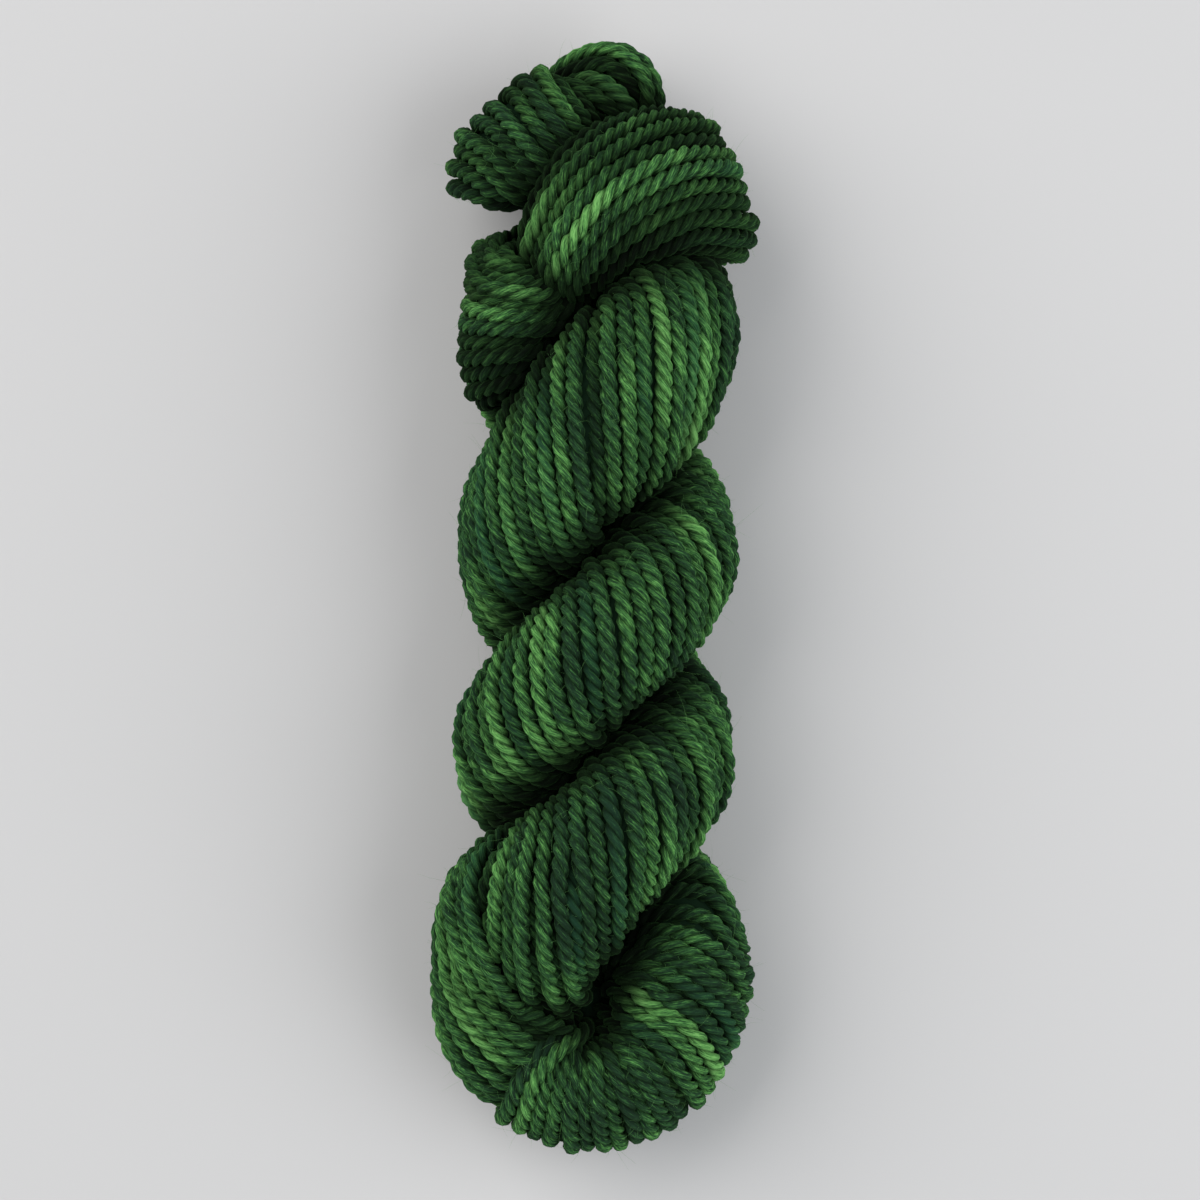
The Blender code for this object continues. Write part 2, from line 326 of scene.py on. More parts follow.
def bundle_frame(step):
    """The bundle's centres, its two section directions and its two radii."""
    columns = evenly(bundle_columns(), step)
    centre = columns[:, 0:3]
    along = unit(np.gradient(centre, axis=0))
    outward = columns[:, 3:6]
    outward = unit(outward - along * (outward * along).sum(axis=1, keepdims=True))
    return centre, outward, np.cross(along, outward), columns[:, 6], columns[:, 7]


def drop_hole(points):
    """Draw the yarn round the hole of the fold down a little, most at its middle."""
    away = np.hypot(points[..., 0] - HOLE[0], points[..., 1] - HOLE[1])
    dropped = points.copy()
    dropped[..., 1] -= HOLE_DROP * np.exp(-((away / HOLE_REACH) ** 2))
    return dropped


def wander(rng, along, reach, size):
    """A smooth random drift along a turn: random knots a reach apart, eased between."""
    count = int(along[-1] / reach) + 3
    knots = rng.normal(0.0, size, count)
    place = along / reach + rng.random()
    low = place.astype(int)
    t = ease(place - low)
    return knots[low] * (1 - t) + knots[low + 1] * t


bundle_parts = bundle_frame(1.0)
bundle_places = lengths_along(bundle_parts[0])
bundle_places -= bundle_places[np.argmin(bundle_parts[0][:, 1])]


def on_bundle(place, angle, lift):
    """A line of yarn on the bundle, from its places, angles and lifts off the surface.

    The angle is 0 at the outer side, and a quarter turn at the top of the fold.
    """
    columns = np.column_stack(bundle_parts)
    columns = np.column_stack([np.interp(place, bundle_places, c) for c in columns.T])
    centre, first_way, second_way = columns[:, 0:3], unit(columns[:, 3:6]), unit(columns[:, 6:9])
    radii = columns[:, 9:11] + np.reshape(lift, (-1, 1)) - YARN / 2
    out = first_way * (radii[:, 0] * np.cos(angle))[:, None]
    out = out + second_way * (radii[:, 1] * np.sin(angle))[:, None]
    return evenly(np.hstack([drop_hole(centre + out), out]), STEP)


def in_cheek(place, angle):
    """How far a point is in the cheek, from 0 outside it to 1, with edges CHEEK_EDGE wide."""
    groove = np.interp(place, *np.array(GROOVE).T)
    below = (groove - np.degrees(angle)) % 360.0
    width = np.maximum(groove - CHEEK_LOWER_ANGLE, 0.0)
    inside = ease(below / CHEEK_EDGE) * ease((width - below) / CHEEK_EDGE + 0.5)
    return np.where(place < CHEEK_START, 1.0, inside)


def leg_turns(rng):
    """The turns of both legs: the angle of each falls along its leg by the sum of the lay.

    Near the fold leg P's turns straighten and open out, so that others rise between them.
    Where leg P widens behind the skein, its turns go under and more of them take over.
    All of them sink where the cheek covers them, and at the fold. Each also rises and
    falls a little on its way, and lies deeper than its neighbours by chance.
    """
    turns = []
    for first, last, count, between in (
        (bundle_places[0], LEG_Q_TURNS_END, LEG_TURNS, False),
        (LEG_P_TURNS_START, LEG_P_WIDENS_AT + OVERLAP, LEG_TURNS, False),
        (LEG_P_TURNS_START, BETWEEN_TURNS_END, LEG_TURNS, True),
        (LEG_P_WIDENS_AT - OVERLAP, bundle_places[-1], WIDE_LEG_TURNS, False),
    ):
        place = np.arange(first, last, LAY_STEP)
        turned = np.cumsum(np.interp(place, *np.array(LEG_LAY).T)) * LAY_STEP
        for k in range(count):
            angle = 2 * math.pi * (k + 0.5 * between) / count - turned
            angle = angle + wander(rng, place - place[0], 25.0, 0.05)
            lift = wander(rng, place - place[0], 20.0, 0.55) + DEEPER * rng.random()
            if last == LEG_Q_TURNS_END:
                lift -= SINK * ease((place - LEG_Q_TURNS_END + OVERLAP) / OVERLAP)
            elif first == LEG_P_TURNS_START:
                lift -= SINK * np.maximum(in_cheek(place, angle), ease((23.0 - place) / 8.0))
                lift -= SINK * ease((place - LEG_P_WIDENS_AT) / OVERLAP)
            else:
                lift -= SINK * ease((LEG_P_WIDENS_AT - place) / OVERLAP)
            if between:
                lift -= SINK * ease((place - 52.0 - 6.0 * (k % 3)) / 8.0)
            turns.append(on_bundle(place, angle, lift))
    return turns


# ---------------------------------------------------------------------------------------
# The cheek: on the left of the fold, turns of leg P's yarn lean over and sweep down into
# the hole. They start in a groove that crosses the bundle from its outer side to the hole.
# ---------------------------------------------------------------------------------------
CHEEK_END = 63.0
CHEEK_TURNS = 16
CHEEK_TURN_GAP = 18.0
CHEEK_PUFF = 2.4

# Columns: the place along the bundle, and the angle of the cheek's first turn in degrees.
CHEEK_SWEEP = (
    (4.0, 166.0),
    (14.0, 150.0),
    (21.5, 138.0),
    (28.5, 119.0),
    (40.0, 94.0),
    (46.5, 60.0),
    (49.5, 8.0),
    (54.0, -49.0),
    (61.0, -126.0),
    (70.0, -230.0),
)


def cheek_turns(rng):
    """The turns of the cheek: the first one's angle, and each next one a gap below it.

    Their ends sink under the legs' turns, and in between they puff out towards the hole.
    """
    turns = []
    for k in range(CHEEK_TURNS):
        place = np.arange(CHEEK_START - 6.0, CHEEK_END, LAY_STEP)
        angle = np.interp(place, *np.array(CHEEK_SWEEP).T) - CHEEK_TURN_GAP * (k - 0.5)
        angle = np.radians(angle) + wander(rng, place, 22.0, 0.04)
        lift = wander(rng, place, 15.0, 0.5)
        lift -= SINK * (1.0 - in_cheek(place, angle)) * (place >= CHEEK_START)
        lift -= SINK * ease((CHEEK_START + 2.0 - place) / 6.0)
        lift += CHEEK_PUFF * ease((place - 32.0) / 18.0) * ease((66.0 - place) / 10.0)
        turns.append(on_bundle(place, angle, lift))
    return turns


# ---------------------------------------------------------------------------------------
# The fan: over the fold itself the turns of yarn come out of the hole, spread over the top
# and go round the outer side. On the right they leave the hole sideways and swing round it.
# ---------------------------------------------------------------------------------------
FAN_FIRST = 10.5
FAN_LAST = -49.0
FAN_SPACING = 4.0

# How far over the top a turn reaches, in degrees, for turns with even and odd numbers.
FAN_REACHES = (140.0, 170.0)
FAN_ANGLE_STEP = 2.5
FAN_SMOOTHED_OVER = 11

# Each layer of turns: how far it is moved on, as a share of the spacing, and its depth.
FAN_LAYERS = ((0.0, 0.0), (0.5, 1.9))

# How far back along the bundle a turn has swung: a row for each of FAN_ANGLES, and in it a
# number for a turn from each of the places FAN_STARTS at the outer side.
FAN_STARTS = (-50.0, -36.0, -29.5, -22.0, -18.0, -13.5, -11.0, -4.5, 2.0, 9.5)
FAN_ANGLES = (-120.0, 0.0, 30.0, 60.0, 90.0, 120.0, 155.0, 180.0)
FAN_SWING = (
    (3.0, 3.0, 3.0, 3.0, 3.0, 3.0, 2.0, 1.0, 0.0, -1.0),
    (0.0, 0.0, 0.0, 0.0, 0.0, 0.0, 0.0, 0.0, 0.0, 0.0),
    (3.0, 3.0, 2.5, 3.5, 1.0, 0.3, 0.0, 0.0, 0.0, 0.0),
    (9.0, 10.0, 5.0, 8.0, 4.0, 2.0, 0.5, 0.0, -0.5, -1.0),
    (11.0, 11.0, 6.5, 10.5, 9.0, 6.0, 2.0, 1.0, -1.5, -3.5),
    (12.0, 12.0, 9.0, 13.0, 15.0, 13.0, 5.0, 4.0, -4.0, -7.0),
    (12.0, 12.0, 11.0, 15.0, 19.0, 22.0, 19.0, 9.0, -8.0, -9.0),
    (12.0, 12.0, 11.0, 15.0, 20.0, 24.0, 24.0, 12.0, -10.0, -10.0),
)


def fan_turns(rng):
    """The turns of the fan, evenly spaced round the outer side of the fold.

    A turn swings back on its way to the hole, as the table tells. Every second turn slips
    under its neighbours there, where there is no room for all of them, and a lower layer
    fills the gaps between the upper turns.
    """
    step = np.arange(FAN_FIRST, FAN_LAST, -0.25)
    rim = bundle_parts[0] + bundle_parts[1] * bundle_parts[3][:, None]
    rim = np.column_stack([np.interp(step, bundle_places, column) for column in rim.T])
    rim_length = lengths_along(rim)
    turns = []
    for layer, sunk in FAN_LAYERS:
        distances = np.arange(layer * FAN_SPACING, rim_length[-1], FAN_SPACING)
        for k, start in enumerate(np.interp(distances, rim_length, step)):
            last = FAN_REACHES[k % 2] + rng.normal(0.0, 6.0)
            degrees = np.arange(-last, last + 26.0, FAN_ANGLE_STEP)
            swings = [np.interp(start, FAN_STARTS, row) for row in FAN_SWING]
            swing = np.interp(degrees, FAN_ANGLES, swings)
            swing = np.pad(swing, FAN_SMOOTHED_OVER // 2, "edge")
            swing = np.convolve(swing, np.ones(FAN_SMOOTHED_OVER) / FAN_SMOOTHED_OVER, "valid")
            distance = np.radians(degrees + last) * 15.0
            place = start - swing + wander(rng, distance, 16.0, 0.25)
            lift = wander(rng, distance, 14.0, 0.5) - sunk
            lift -= 0.8 * ease((-5.0 - start) / 15.0)
            ends = ease((degrees - last) / 24.0) + ease((12.0 - degrees - last) / 24.0)
            turns.append(on_bundle(place, np.radians(degrees), lift - SINK * ends))
    return turns


# ---------------------------------------------------------------------------------------
# The ring: one loop end of the hank, spread wide, which the knob's neck goes through. Its
# turns of yarn run round it side by side, and gather to a pinch at the front.
# ---------------------------------------------------------------------------------------
# Columns: the section's centre x, y, z, its width, its thickness, the lean of its width
# in degrees, and how many turns of yarn the lay has gone round by there.
RING_SECTIONS = (
    (-8.5, 64.0, 2.0, 13.0, 18.0, -38.0, 0.0),
    (-6.0, 73.5, 12.5, 22.0, 19.0, -34.0, 0.0),
    (2.5, 84.0, 18.0, 31.0, 19.0, -43.0, -0.2),
    (14.5, 89.5, 15.0, 34.5, 17.5, -58.0, -0.6),
    (24.9, 89.3, 1.0, 35.5, 17.0, -68.0, -1.2),
    (21.0, 87.0, -14.0, 33.0, 16.0, -64.0, -1.6),
    (6.5, 79.0, -20.0, 30.0, 16.0, -52.0, -2.0),
    (-10.0, 69.0, -18.0, 32.0, 16.0, -60.0, -2.4),
    (-20.0, 61.0, -8.0, 38.0, 15.0, -85.0, -2.4),
    (-22.5, 59.0, 6.0, 39.0, 15.0, -98.0, -1.7),
    (-17.5, 60.0, 13.5, 28.0, 15.0, -98.0, -0.8),
    (-11.0, 62.5, 9.0, 13.0, 16.0, -80.0, 0.0),
    (-9.0, 63.0, 3.0, 13.0, 17.0, -50.0, 0.0),
)
RING_TURNS = 20


def lobe_frame(sections, closed, step):
    """A lobe's centres, the directions of its width and depth, and its half sizes."""
    columns = evenly(smooth_curve(sections, closed), step, closed)
    centre = columns[:, 0:3]
    if closed:
        along = np.roll(centre, -1, axis=0) - np.roll(centre, 1, axis=0)
    else:
        along = np.gradient(centre, axis=0)
    along = unit(along)
    lean = np.radians(columns[:, 5])
    width_way = np.column_stack([np.cos(lean), np.sin(lean), np.zeros_like(lean)])
    width_way = unit(width_way - along * (width_way * along).sum(axis=1, keepdims=True))
    depth_way = np.cross(along, width_way)
    return centre, width_way, depth_way, columns[:, 3] / 2, columns[:, 4] / 2, columns[:, 6]


def even_angles(first_radius, second_radius, shares):
    """Angles at equal shares of the way round each ellipse, worked out for all at once."""
    angle = np.linspace(0.0, 2 * math.pi, 181)
    speed = np.hypot(
        first_radius[:, None] * np.sin(angle), second_radius[:, None] * np.cos(angle)
    )
    steps = (speed[:, 1:] + speed[:, :-1]) / 2
    way = np.concatenate([np.zeros((len(steps), 1)), np.cumsum(steps, axis=1)], axis=1)
    way /= way[:, -1:]
    return np.array([np.interp(share % 1.0, row, angle) for share, row in zip(shares, way)])


def lobe_turns(rng, sections, closed, count, shift=0.0):
    """The centre lines of the yarn round a lobe, evenly spread round every section.

    A turn's point is centre + a cos(angle) width_way + b sin(angle) depth_way, where a and
    b are the section's half sizes less half the yarn, and its angle is the one that has its
    share of the way round the ellipse behind it.
    """
    centre, width_way, depth_way, half_width, half_depth, lay = lobe_frame(
        sections, closed, 1.0
    )
    along = lengths_along(centre)
    blend = np.abs(np.sin(math.pi * along / along[-1])) ** 0.5 if closed else np.ones_like(along)
    turns = []
    for k in range(count):
        share = (k + shift + lay + blend * wander(rng, along, 25.0, 0.12)) / count
        lift = blend * wander(rng, along, 20.0, 0.5) - YARN / 2
        first_radius = np.maximum(half_width + lift, 1.0)
        second_radius = np.maximum(half_depth + lift, 1.0)
        angle = even_angles(first_radius, second_radius, share)
        first = width_way * (first_radius * np.cos(angle))[:, None]
        second = depth_way * (second_radius * np.sin(angle))[:, None]
        columns = np.hstack([centre + first + second, first + second])
        turns.append(evenly(columns, STEP, closed))
    return turns


# ---------------------------------------------------------------------------------------
# The knob and the arch: the hank's other loop end, pushed through the ring. The knob's
# turns spread to the upper left and turn over to the back. The rest stand up beside it as
# an arch of two layers, an outer one and an inner one.
# ---------------------------------------------------------------------------------------
KNOB_SECTIONS = (
    (1.5, 88.0, -4.0, 18.0, 20.0, 50.0, 0.0),
    (-5.0, 93.0, 6.0, 19.0, 20.0, 50.0, 0.6),
    (-10.5, 97.0, 11.0, 28.0, 19.0, 52.0, 1.8),
    (-16.8, 99.5, 7.5, 34.5, 17.0, 54.0, 3.2),
    (-21.8, 99.2, -2.0, 31.0, 15.5, 52.0, 4.0),
    (-18.5, 100.0, -11.0, 32.0, 15.0, 56.0, 4.4),
    (-6.0, 99.5, -16.0, 32.0, 15.0, 56.0, 4.4),
    (4.5, 95.0, -12.0, 26.0, 16.0, 50.0, 4.4),
)
KNOB_TURNS = 16
ARCH_SECTIONS = (
    (-10.0, 106.5, -8.0, 10.0, 10.0, 60.0, 0.0),
    (-5.5, 113.0, -3.0, 10.5, 10.0, 110.0, 0.3),
    (2.5, 116.8, 2.0, 11.0, 10.5, 85.0, 0.6),
    (8.8, 113.0, 2.5, 11.0, 10.5, 35.0, 1.0),
    (10.3, 106.0, -1.0, 11.0, 10.5, 0.0, 1.3),
    (8.0, 99.0, -7.0, 10.0, 11.0, -20.0, 1.6),
)
ARCH_TURNS = 6
ARCH_INNER_SECTIONS = (
    (-11.0, 102.0, -6.0, 10.0, 9.0, 60.0, 0.0),
    (-6.5, 107.5, 1.5, 11.0, 9.0, 62.0, 0.3),
    (-0.5, 108.5, 5.0, 12.0, 9.5, 65.0, 0.6),
    (4.8, 105.0, 3.5, 11.0, 9.5, 45.0, 0.9),
    (6.5, 99.0, -3.0, 10.0, 9.0, 10.0, 1.2),
)
ARCH_INNER_TURNS = 6

# ---------------------------------------------------------------------------------------
# Settling: the skein is pressed a little flat under its own weight, its ends sag to the
# floor, and turns that crowd each other slide apart until each has room for its yarn.
# ---------------------------------------------------------------------------------------
PRESSED = 0.86
AXIS_HEIGHT = 25.3
FOLD_SAG = 6.0
KNOB_SAG = 3.0
SAG_STARTS_AT = 58.0
SAG_SPAN = 60.0
SETTLING_ROUNDS = 14
CLOSEST = 0.93 * YARN
COULD_CROWD = 1.6 * CLOSEST
OWN_NEIGHBOURS = 6
LOWEST = 0.56 * YARN
PUSH = 0.55
PULL_BACK = 0.10

# How far off yarn still shades a turn, and how much darker it gets there.
CLOSE_BY = 16.0
DARKENING = 2.2


def lay_down(points):
    """Press the skein a little flat, let both ends sag, and raise it onto the floor."""
    y = points[..., 1]
    sag = FOLD_SAG * ease((-SAG_STARTS_AT - y) / SAG_SPAN)
    sag += KNOB_SAG * ease((y - SAG_STARTS_AT) / SAG_SPAN)
    laid = points.copy()
    laid[..., 2] = AXIS_HEIGHT + PRESSED * points[..., 2] - sag
    return laid


def close_pairs(points, turn_numbers, places):
    """Every pair of points that could come to crowd each other.

    They are within COULD_CROWD, and on two turns or at least OWN_NEIGHBOURS apart on one.
    """
    pairs = []
    for start in range(0, len(points), 1024):
        block = slice(start, start + 1024)
        apart = points[block, None, :] - points[None, :, :]
        near = np.einsum("ijk,ijk->ij", apart, apart) < COULD_CROWD**2
        same = turn_numbers[block, None] == turn_numbers[None, :]
        same &= np.abs(places[block, None] - places[None, :]) < OWN_NEIGHBOURS
        here, there = np.nonzero(near & ~same)
        pairs.append(np.column_stack([here + start, there]))
    return np.vstack(pairs).T


def settle(turns):
    """Let crowded turns slide apart, with each move smoothed along its own turn.

    A point closer than CLOSEST to others moves away by a share PUSH of what is missing, on
    the average of them all, and is drawn back by PULL_BACK of its distance from its place.
    """
    sizes = [len(turn) for turn in turns]
    turn_numbers = np.repeat(np.arange(len(turns)), sizes)
    places = np.concatenate([np.arange(size) for size in sizes])
    points = np.vstack(turns).astype(np.float32)
    first = points.copy()
    here, there = close_pairs(points, turn_numbers, places)
    index = np.arange(len(points))
    follows = np.concatenate([[False], turn_numbers[1:] == turn_numbers[:-1]])
    before = np.where(follows, index - 1, index)
    after = np.where(np.roll(follows, -1), index + 1, index)
    for _ in range(SETTLING_ROUNDS):
        gap = points[here] - points[there]
        distance = np.maximum(np.linalg.norm(gap, axis=1), 0.01)
        crowded = distance < CLOSEST
        away = gap[crowded] * ((CLOSEST - distance[crowded]) / distance[crowded])[:, None]
        pushed = here[crowded]
        count = np.maximum(np.bincount(pushed, minlength=len(points)), 1)
        total = [np.bincount(pushed, part, minlength=len(points)) for part in away.T]
        move = PUSH * np.column_stack(total) / count[:, None] + PULL_BACK * (first - points)
        for _ in range(2):
            move = 0.25 * move[before] + 0.5 * move + 0.25 * move[after]
        points = points + move
        points[:, 2] = np.maximum(points[:, 2], LOWEST)
    return np.split(points, np.cumsum(sizes)[:-1])


def openness(turns, outward):
    """How open each point of the turns is to the light, from 1 in the open towards 0.

    All yarn within CLOSE_BY above a point's outer side counts against it, by its angle and
    the inverse square of its distance.
    """
    sizes = [len(turn) for turn in turns]
    points = np.vstack(turns).astype(np.float32)
    outward = unit(np.vstack(outward)).astype(np.float32)
    covered = []
    for start in range(0, len(points), 512):
        block = slice(start, start + 512)
        away = points[None, :, :] - points[block, None, :]
        square = np.einsum("ijk,ijk->ij", away, away)
        rise = np.einsum("ijk,ik->ij", away, outward[block])
        counts = (square > CLOSEST**2) & (square < CLOSE_BY**2) & (rise > 0.0)
        weight = np.where(counts, rise * STEP * YARN / np.maximum(square, 1.0) ** 1.5, 0.0)
        covered.append(weight.sum(axis=1) / math.pi)
    return np.split(np.exp(-DARKENING * np.concatenate(covered)), np.cumsum(sizes)[:-1])


rng = np.random.default_rng(7)
groups = {
    "legs": leg_turns(rng),
    "cheek": cheek_turns(rng),
    "fan": fan_turns(rng),
    "ring": lobe_turns(rng, RING_SECTIONS, True, RING_TURNS),
    "knob": lobe_turns(rng, KNOB_SECTIONS, False, KNOB_TURNS, 0.3),
    "arch": lobe_turns(rng, ARCH_SECTIONS, False, ARCH_TURNS)
    + lobe_turns(rng, ARCH_INNER_SECTIONS, False, ARCH_INNER_TURNS),
}
all_turns = [turn for turns in groups.values() for turn in turns]
ways_out = [turn[:, 3:6] for turn in all_turns]
settled = settle([lay_down(turn[:, 0:3]) for turn in all_turns])
middle = (np.vstack(settled).min(axis=0) + np.vstack(settled).max(axis=0)) / 2
shift = np.array([(cad_low.x + cad_high.x) / 2, (cad_low.y + cad_high.y) / 2, 0.0]) / MM
shift[:2] -= middle[:2]
open_to_light = openness(settled, ways_out)
settled = [
    np.column_stack([turn + shift, way, is_open])
    for turn, way, is_open in zip(settled, ways_out, open_to_light)
]

# ---------------------------------------------------------------------------------------
# The yarn: each turn is a soft wool yarn of three plies, twisted together left-handed. Each
# ply swells and thins by itself, and the twist is looser in some places than in others. It
# was dyed by hand, so the green is lighter and darker along it. In pools over the skein it is
# lighter and darker too, partly from the dye and partly as painted light and shade, and its
# colour carries painted shade in the ply grooves and between the turns.
# ---------------------------------------------------------------------------------------
PLIES = 3
POINTS_ROUND = 18
RING_SPACING = 1.3
PLY_PITCH = 9.9
PLY_CENTRE = 0.98
FULLNESS = 1.06
FIBRE_TURN = 0.67
MOST_QUADS = 90000
SHADE_IN_GROOVE = 0.28
SHADE_BETWEEN_TURNS = 0.18
HAIRS_PER_MM = 1.1
HAIRS_WHERE_OPEN = 0.4

# How the dye drifts. Each pair: the reach of a drift in millimetres, and its size.
DYE_LONG = (45.0, 0.12)
DYE_SHORT = (13.0, 0.06)
DYE_OF_A_PLY = (9.0, 0.08)
DYE_OF_A_TURN = 0.09

# Where the yarn is lighter or darker over the skein: partly where the dye took more or less,
# partly painted light and shade. Columns: the place x and y, the reach, and the amount.
DYE_AND_SHADING_POOLS = (
    (0.0, 34.0, 12.0, -0.20),
    (20.0, 42.0, 8.0, 0.14),
    (0.0, -14.0, 12.0, -0.26),
    (23.0, 8.0, 9.0, 0.06),
    (-23.0, -38.0, 10.0, 0.10),
    (0.0, -45.0, 11.0, -0.22),
    (-4.0, -70.0, 12.0, -0.12),
    (-28.0, -88.0, 12.0, 0.26),
    (2.0, -110.0, 14.0, -0.22),
    (24.0, -88.0, 12.0, -0.14),
    (4.0, 115.0, 9.0, 0.04),
    (8.0, 88.0, 12.0, 0.02),
    (-22.0, 66.0, 10.0, 0.20),
)


def ply_profile(count):
    """The outline of three plies pressed together: the far edge of the ply on each side.

    A ply's edge at an angle a from its own direction is c cos a + sqrt(1 - (c sin a)**2),
    with the ply's radius as the unit and c the distance of its centre.
    """
    angle = np.arange(count) * 2 * math.pi / count
    off = (angle + math.pi / PLIES) % (2 * math.pi / PLIES) - math.pi / PLIES
    edge = PLY_CENTRE * np.cos(off) + np.sqrt(1.0 - (PLY_CENTRE * np.sin(off)) ** 2)
    ply = ((angle + math.pi / PLIES) // (2 * math.pi / PLIES)).astype(int) % PLIES
    return angle, edge / (PLY_CENTRE + 1.0), ply


def pooled_dye_and_shading(line):
    """How much lighter the yarn is along a line: the sum of the pools there. The pools are
    partly the dye and partly painted light and shade.
    """
    pools = np.array(DYE_AND_SHADING_POOLS)
    away = line[:, None, :2] - pools[None, :, :2]
    return (pools[:, 3] * np.exp(-(away**2).sum(axis=-1) / pools[:, 2] ** 2)).sum(axis=1)


def tube_quads(rings, sides, closed):
    """The quads of a tube of rings, facing outward, as rows of four point numbers."""
    ring = np.arange(sides)
    rows = np.arange(rings if closed else rings - 1)[:, None]
    here = rows * sides + ring
    beside = rows * sides + (ring + 1) % sides
    total = rings * sides
    quads = np.stack([here, beside, (beside + sides) % total, (here + sides) % total], axis=-1)
    return quads.reshape(-1, 4)


def spin(rng, turn, closed):
    """Skin one turn with the three-ply outline, turned along it.

    A point is line + radius (up cos(direction) + side sin(direction)), where the radius is
    the outline's edge there. Each point notes its place in the fibres (its direction in an
    outline turned a third as fast, and the distance along), its painted shade, which falls in
    the grooves and between the turns, and its dye: the turn's own, its drifts, the pools
    (partly painted light and shade), and its ply's. Points that lie open grow hairs: their
    roots, normals and directions follow.
    """
    columns = evenly(smooth_curve(turn, closed, 5), RING_SPACING, closed)
    line = columns[:, 0:3]
    count = len(line)
    if closed:
        forward = unit(np.roll(line, -1, axis=0) - np.roll(line, 1, axis=0))
    else:
        forward = unit(np.gradient(line, axis=0))
    along = lengths_along(line)
    up = columns[:, 3:6]
    up = unit(up - forward * (up * forward).sum(axis=1, keepdims=True))
    side = np.cross(forward, up)
    pitch = PLY_PITCH * (1.0 + rng.normal(0.0, 0.08))
    turned = -2 * math.pi * (along / pitch + wander(rng, along, 25.0, 0.10))
    angle, edge, ply = ply_profile(POINTS_ROUND)
    direction = angle + turned[:, None]
    swell = np.column_stack([wander(rng, along, 8.0, 0.045) for _ in range(PLIES)])
    thickness = 1.0 + wander(rng, along, 20.0, 0.035)
    if not closed:
        thickness[[0, -1]] *= 0.5
    radius = FULLNESS * YARN / 2 * thickness[:, None] * edge * (1.0 + swell[:, ply])
    radius *= 1.0 + rng.normal(0.0, 0.012, radius.shape)
    normal = np.cos(direction)[..., None] * up[:, None]
    normal = normal + np.sin(direction)[..., None] * side[:, None]
    points = line[:, None, :] + radius[..., None] * normal
    points[..., 2] = np.maximum(points[..., 2], 0.0)
    fibre_angle = direction - turned[:, None] * FIBRE_TURN
    fibre = np.stack(
        [np.cos(fibre_angle), np.sin(fibre_angle), np.repeat(along[:, None], POINTS_ROUND, 1)],
        axis=-1,
    )
    # Painted shade, multiplied into the yarn's colour later: darker in the ply grooves, on the
    # sides of the turn that face away from its outer side, and where other yarn covers it.
    depth = ((edge - edge.min()) / (1.0 - edge.min())) ** 0.7
    in_groove = SHADE_IN_GROOVE + (1.0 - SHADE_IN_GROOVE) * depth
    facing = ease((np.cos(direction) + 0.22) / 1.15)
    shade = in_groove * (SHADE_BETWEEN_TURNS + (1.0 - SHADE_BETWEEN_TURNS) * facing)
    shade *= columns[:, 6:7]
    dye = wander(rng, along, *DYE_LONG) + wander(rng, along, *DYE_SHORT)
    dye += rng.normal(0.0, DYE_OF_A_TURN)
    # The pools are partly where the dye took more or less, partly painted light and shade.
    dye += pooled_dye_and_shading(line)
    of_plies = [wander(rng, along, *DYE_OF_A_PLY) for _ in range(PLIES)]
    dye = dye[:, None] + np.column_stack(of_plies)[:, ply]
    hue = wander(rng, along, 50.0, 0.5)
    ends = []
    if not closed:
        corners = np.arange(POINTS_ROUND)
        ends = [corners[::-1].tolist(), (corners + (count - 1) * POINTS_ROUND).tolist()]
    hairs = rng.integers(0, points[..., 0].size, int(along[-1] * HAIRS_PER_MM))
    is_open = np.repeat(columns[:, 6], POINTS_ROUND) > HAIRS_WHERE_OPEN
    rooted = hairs[(np.cos(direction).ravel()[hairs] > -0.1) & is_open[hairs]]
    return {
        "points": points.reshape(-1, 3),
        "quads": tube_quads(count, POINTS_ROUND, closed),
        "ends": ends,
        "fibre": fibre.reshape(-1, 3),
        "shade": shade.ravel(),
        "dye": dye.ravel(),
        "hue": np.repeat(hue, POINTS_ROUND),
        "roots": points.reshape(-1, 3)[rooted],
        "normals": normal.reshape(-1, 3)[rooted],
        "forward": np.repeat(forward, POINTS_ROUND, axis=0)[rooted],
    }


def new_piece(name, mesh, material):
    """Make an object of a mesh, smooth and in its material."""
    mesh.shade_smooth()
    mesh.materials.append(material)
    piece = bpy.data.objects.new(name, mesh)
    bpy.context.scene.collection.objects.link(piece)
    return piece


def yarn_mesh(name, turns):
    """Join spun turns into one mesh, with their fibre, shade, dye and hue on its points."""
    starts = np.cumsum([0] + [len(turn["points"]) for turn in turns])
    mesh = bpy.data.meshes.new(name)
    points = np.vstack([turn["points"] for turn in turns]) * MM
    quads = np.vstack([turn["quads"] + start for turn, start in zip(turns, starts)])
    ends = [
        [corner + start for corner in end]
        for turn, start in zip(turns, starts)
        for end in turn["ends"]
    ]
    mesh.from_pydata(points, [], quads.tolist() + ends)
    for key, kind, field in (
        ("fibre", "FLOAT_VECTOR", "vector"),
        ("shade", "FLOAT", "value"),
        ("dye", "FLOAT", "value"),
        ("hue", "FLOAT", "value"),
    ):
        values = np.concatenate([turn[key] for turn in turns]).astype(np.float32)
        mesh.attributes.new(key, kind, "POINT").data.foreach_set(field, values.ravel())
    return mesh


